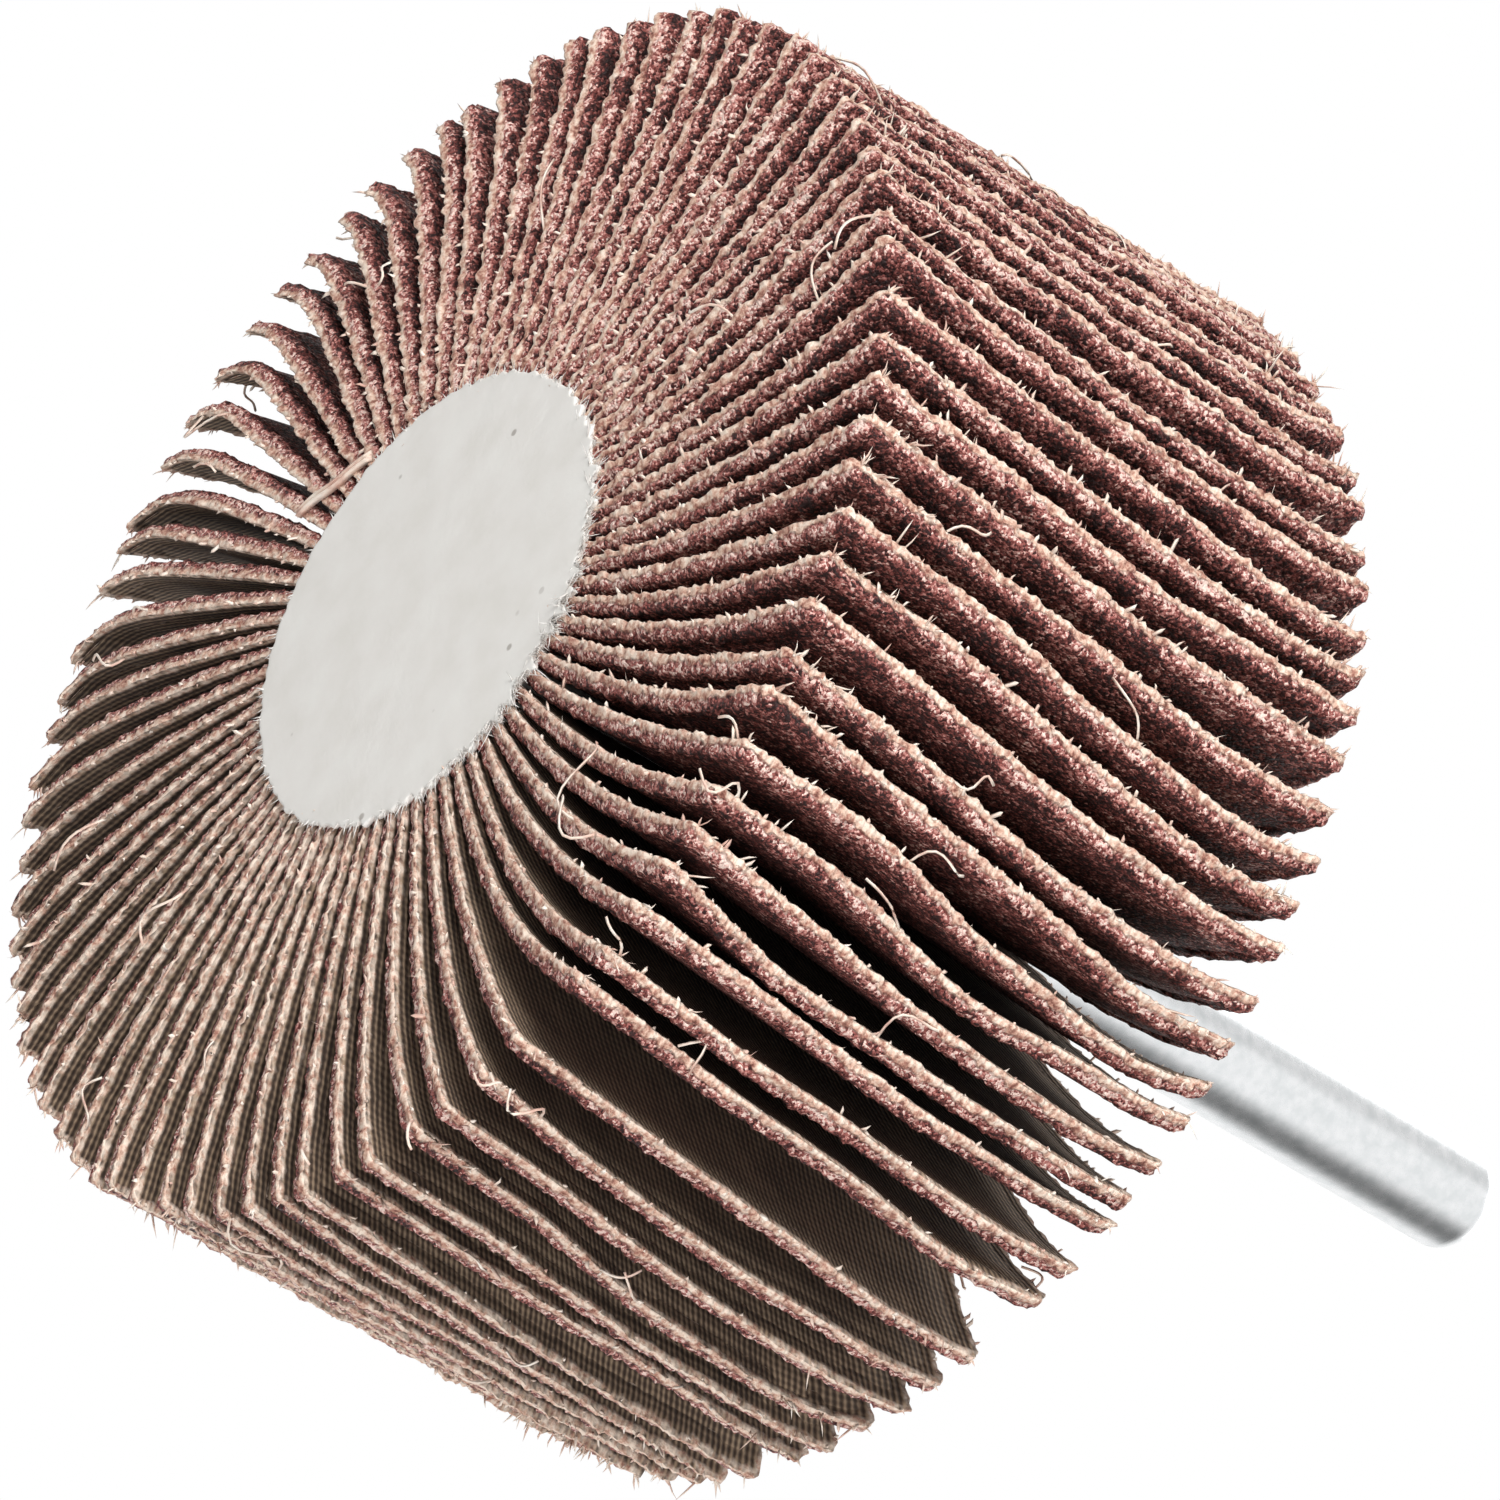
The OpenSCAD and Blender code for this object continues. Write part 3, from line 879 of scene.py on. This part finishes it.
class CoreLook(bpy.types.PropertyGroup):
    """Sizes of the core's uneven rim."""
    rim_points: bpy.props.IntProperty(
        name="Rim points", description="Points round the core", default=960, min=96)
    rim_ragged: length("Ragged rim", "Unevenness of the rim", 0.00016)
    rim_run: length("Run-out", "Reach of the resin between two flaps", 0.0009)
    fluff: bpy.props.IntProperty(
        name="Fluff", description="Pale fibres round each disc", default=1100, min=0)


class StageLook(bpy.types.PropertyGroup):
    """Light of the stage and finish of the shank."""
    fill: bpy.props.FloatProperty(
        name="Fill", description="Strength of the even light all round", default=0.4, min=0.0)
    shank_roughness: bpy.props.FloatProperty(
        name="Shank roughness", description="Roughness of the plated steel", default=0.27,
        min=0.0, max=1.0, subtype="FACTOR")


# Operators

FLAPS = [flap for k, name in enumerate(FLAP_NODES) for flap in read_flaps(name, 2 * k)]


class MakeFlaps(bpy.types.Operator):
    """Make the gritty cloth flaps, one object for each CAD pair"""
    bl_idname = "flap_wheel.make_flaps"
    bl_label = "Flaps"

    def execute(self, context):
        look = context.scene.flap_look
        materials = [abrasive_cloth(look), cut_thread()]
        for k, name in enumerate(FLAP_NODES):
            rng = np.random.default_rng(look.seed + k)
            shells = Shells()
            for flap in FLAPS[2 * k:2 * k + 2]:
                add_rim(shells, flap, rng, look)
                add_sheet(shells, flap, look)
                add_fray(shells, flap, rng, look)
            if k == 0:
                add_stray_strip(shells)
            shells.make(name + "_cloth", materials, "abrasive_cloth", name)
        return {"FINISHED"}


class MakeCore(bpy.types.Operator):
    """Make the cast core with its ragged rim and pale fibres"""
    bl_idname = "flap_wheel.make_core"
    bl_label = "Core"

    def execute(self, context):
        look = context.scene.core_look
        shells = Shells()
        turn, rim, bleed = add_core(shells, look)
        add_core_fluff(shells, turn, rim, bleed, np.random.default_rng(41), look)
        shells.make("cast_core", [cast_resin(), resin_fluff()], "resin", "core")
        return {"FINISHED"}


class FinishShank(bpy.types.Operator):
    """Give the CAD spindle its plated steel"""
    bl_idname = "flap_wheel.finish_shank"
    bl_label = "Shank"

    def execute(self, context):
        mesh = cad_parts["spindle"].data
        mesh.materials.clear()
        mesh.materials.append(plated_steel(context.scene.stage_look))
        return {"FINISHED"}


class MakeStage(bpy.types.Operator):
    """Make the floor, the lamps, the pale world and the camera"""
    bl_idname = "flap_wheel.make_stage"
    bl_label = "Stage"

    def execute(self, context):
        look = context.scene.stage_look
        add_world(look)
        add_floor(look)
        add_lamp("key", (-0.72, -0.56, -0.41), 0.5, 2.4, 0.25)
        add_lamp("front", (0.45, -0.88, -0.2), 0.5, 1.6, 0.35)
        add_lamp("side", (0.8, 0.5, 0.1), 0.5, 0.9, 0.4)
        add_lamp("top", (-0.3, 0.3, 0.9), 0.5, 1.2, 0.5)
        add_camera()
        return {"FINISHED"}


class LookPanel(bpy.types.Panel):
    """Lists the settings and the makers of the flap wheel"""
    bl_idname = "VIEW3D_PT_flap_wheel"
    bl_label = "Flap wheel"
    bl_space_type = "VIEW_3D"
    bl_region_type = "UI"
    bl_category = "Flap wheel"

    def draw(self, context):
        for settings, makers in (("flap_look", [MakeFlaps]), ("core_look", [MakeCore]),
                                 ("stage_look", [FinishShank, MakeStage])):
            box = self.layout.box()
            group = getattr(context.scene, settings)
            for name in group.bl_rna.properties.keys():
                if name not in ("rna_type", "name"):
                    box.prop(group, name)
            for maker in makers:
                box.operator(maker.bl_idname)


GROUPS = {"flap_look": FlapLook, "core_look": CoreLook, "stage_look": StageLook}
MAKERS = [MakeFlaps, MakeCore, FinishShank, MakeStage]


def register():
    for made in [*GROUPS.values(), *MAKERS, LookPanel]:
        bpy.utils.register_class(made)
    for name, group in GROUPS.items():
        setattr(bpy.types.Scene, name, bpy.props.PointerProperty(type=group))


def unregister():
    for name in GROUPS:
        delattr(bpy.types.Scene, name)
    for made in reversed([*GROUPS.values(), *MAKERS, LookPanel]):
        bpy.utils.unregister_class(made)


def main():
    register()
    bpy.context.scene.view_settings.view_transform = "Standard"
    bpy.ops.flap_wheel.make_flaps()
    bpy.ops.flap_wheel.make_core()
    bpy.ops.flap_wheel.finish_shank()
    bpy.ops.flap_wheel.make_stage()


if __name__ == "__main__":
    main()
